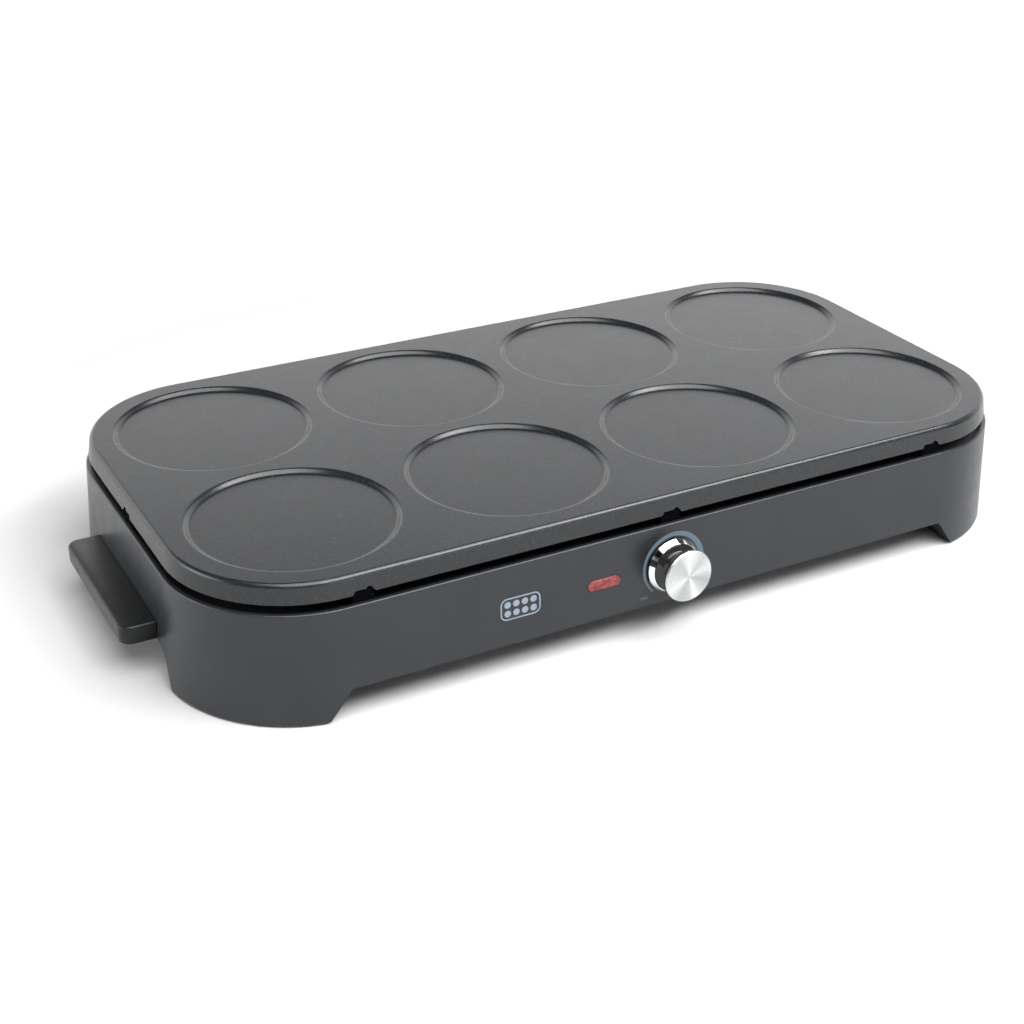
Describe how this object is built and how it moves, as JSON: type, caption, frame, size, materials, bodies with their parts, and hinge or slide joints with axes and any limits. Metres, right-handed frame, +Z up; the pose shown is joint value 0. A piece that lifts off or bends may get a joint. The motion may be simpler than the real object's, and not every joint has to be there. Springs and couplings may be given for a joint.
{
  "type": "electric griddle",
  "caption": "Low oblong electric griddle: a lift-off coated plate with round shallow wells on a heated base with short end handles, a dial and a pilot light.",
  "frame": {"origin": "centre of the whole box in plan, knob and handles included, at the underside of the rubber feet", "axes": "+Z up, +X to the right as seen from the control side, the control side faces -Y"},
  "size_m": [0.596, 0.3074, 0.0837],
  "materials": {
    "plate": "cast, with a satin dark grey non-stick coating and a very fine speckle",
    "shell": "satin heat-resistant plastic",
    "grip": "fine satin black plastic",
    "knob_black": "semi-gloss black plastic",
    "chrome": "polished",
    "spun_aluminium": "spun face with fine rings and a bright bevel",
    "lens": "red translucent, gloss",
    "lamp_glass": "clear glass",
    "rubber": "matte black rubber",
    "rest": "matte black heat-proof moulding",
    "tray_metal": "dulled rolled sheet with heat tint",
    "zinc": "bright zinc plate",
    "sheath": "heat-tinted steel sheath",
    "bakelite": "brown-black thermoset",
    "ceramic": "unglazed steatite",
    "wire_brown": "silicone sleeve",
    "wire_blue": "silicone sleeve",
    "wire_red": "silicone sleeve",
    "wire_green": "silicone sleeve",
    "wire_white": "silicone sleeve",
    "print_ink": "blue-grey printing ink, a surface layer on the shell"
  },
  "bodies": {
    "base": {"housing": "shell", "bottom_cover": "zinc", "handle_left": "grip", "handle_right": "grip", "reflector_tray": "tray_metal", "heating_element": "sheath", "thermostat_bracket": "zinc", "thermostat_body": "bakelite", "lamp_lens": "lens", "lamp_holder": "bakelite", "neon_lamp": "lamp_glass", "cable_gland": "rubber", "terminal_block": "ceramic", "thermal_fuse": "ceramic", "earth_tag": "zinc", "wire_live": "wire_brown", "wire_neutral": "wire_blue", "wire_fuse": "wire_red", "wire_heater": "wire_red", "wire_earth": "wire_green", "wire_lamp_live": "wire_white", "wire_lamp_neutral": "wire_white", "cover_screw_1": "zinc", "cover_screw_2": "zinc", "cover_screw_3": "zinc", "cover_screw_4": "zinc", "cover_screw_5": "zinc", "cover_screw_6": "zinc", "element_support_1": "zinc", "element_support_2": "zinc", "element_support_3": "zinc", "foot_front_left": "rubber", "foot_front_right": "rubber", "foot_rear_left": "rubber", "foot_rear_right": "rubber", "plate_rest_front_left": "rest", "plate_rest_front_middle": "rest", "plate_rest_front_right": "rest", "plate_rest_rear_left": "rest", "plate_rest_rear_middle": "rest", "plate_rest_rear_right": "rest", "plate_rest_end_left": "rest", "handle_left_screw_front": "zinc", "handle_left_screw_rear": "zinc", "plate_rest_end_right": "rest", "handle_right_screw_front": "zinc", "handle_right_screw_rear": "zinc"},
    "plate": {"cooking_plate": "plate"},
    "knob": {"knob_ring": "chrome", "knob_body": "knob_black", "knob_cap": "spun_aluminium", "thermostat_shaft": "zinc"}
  },
  "joints": [
    {"name": "plate_lift", "type": "slide", "parent": "base", "child": "plate", "axis": [0, 0, 1], "range_m": [0, 0.06]},
    {"name": "knob_turn", "type": "hinge", "parent": "base", "child": "knob", "pos_m": [0, -0.13531, 0.0407], "axis": [0, 0.9982, -0.0604], "range_deg": [-68, 206]}
  ]
}
